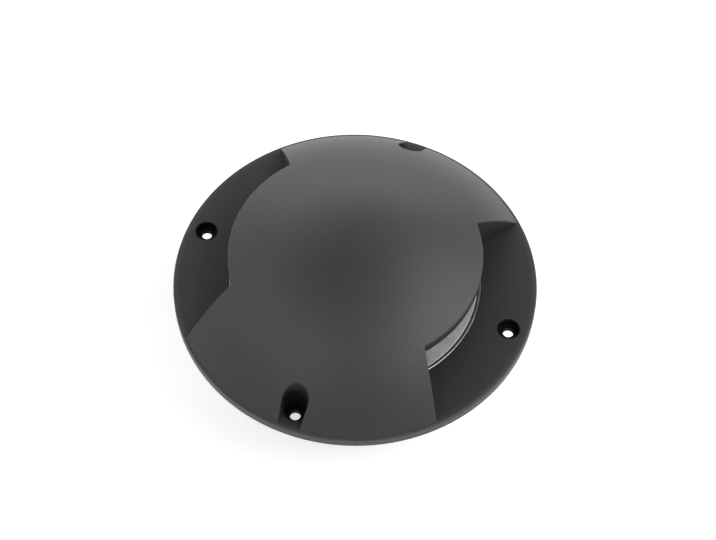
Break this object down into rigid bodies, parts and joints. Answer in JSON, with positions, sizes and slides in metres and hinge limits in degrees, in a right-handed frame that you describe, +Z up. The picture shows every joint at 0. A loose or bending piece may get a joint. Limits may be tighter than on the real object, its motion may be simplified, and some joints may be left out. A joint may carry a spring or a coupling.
{
  "type": "in ground well light",
  "caption": "Round domed in-ground light: brimmed cap open on opposite sides, flush frosted lens, LED engine and driver in a finned can with a side cable gland.",
  "frame": {"origin": "centre of the circle of fixing holes, on the underside of the cover's flange", "axes": "+Z up out of the ground along the light's axis, windows facing +X and -X, cable gland pointing to +Y"},
  "size_m": [0.18, 0.18, 0.098],
  "materials": {
    "cover_coat": "fine satin-matt powder coat",
    "housing_coat": "satin powder coat on a casting",
    "frosted_glass": "toughened, etched upper face",
    "silicone": "matt moulded silicone",
    "stainless": "turned stainless steel",
    "plate_aluminium": "milled aluminium",
    "nickel_brass": "nickel plated brass",
    "terminal_brass": "bare brass",
    "white_mask": "white solder mask",
    "led_phosphor": "LED phosphor in a white frame",
    "reflector_white": "white moulded plastic",
    "thermal_silicone": "soft thermal pad",
    "driver_plastic": "off-white plastic",
    "board_green": "green circuit board",
    "winding_tape": "yellow winding tape",
    "capacitor_sleeve": "shrink sleeve",
    "terminal_nylon": "natural nylon",
    "lead_red": "silicone insulation",
    "lead_black": "silicone insulation",
    "lead_brown": "silicone insulation",
    "lead_blue": "silicone insulation",
    "lead_earth": "green and yellow insulation"
  },
  "bodies": {
    "root": {"cover": "cover_coat", "lens_glass": "frosted_glass", "lens_gasket": "silicone", "lens_seat_gasket": "silicone", "lens_clamp_ring": "stainless", "clamp_ring_screws": "stainless", "housing": "housing_coat", "cover_screws": "stainless", "cover_screw_washers": "stainless", "heat_plate": "plate_aluminium", "heat_plate_screws": "stainless", "thermal_pad": "thermal_silicone", "led_board": "white_mask", "led_packages": "led_phosphor", "board_connector": "driver_plastic", "board_screws": "stainless", "reflector": "reflector_white", "lead_grommet": "silicone", "driver_case": "driver_plastic", "driver_lid": "driver_plastic", "driver_board": "board_green", "driver_transformer": "winding_tape", "driver_capacitor": "capacitor_sleeve", "driver_screws": "stainless", "terminal_block": "terminal_nylon", "terminal_tubes": "terminal_brass", "terminal_clamp_screws": "stainless", "terminal_screws": "stainless", "led_lead_positive": "lead_red", "led_lead_negative": "lead_black", "supply_lead_live": "lead_brown", "supply_lead_neutral": "lead_blue", "earth_lead": "lead_earth", "earth_lug": "terminal_brass", "earth_screw": "stainless", "gland_body": "nickel_brass", "gland_washer": "silicone", "gland_locknut": "nickel_brass", "gland_seal": "silicone", "gland_cap_nut": "nickel_brass"}
  },
  "joints": []
}
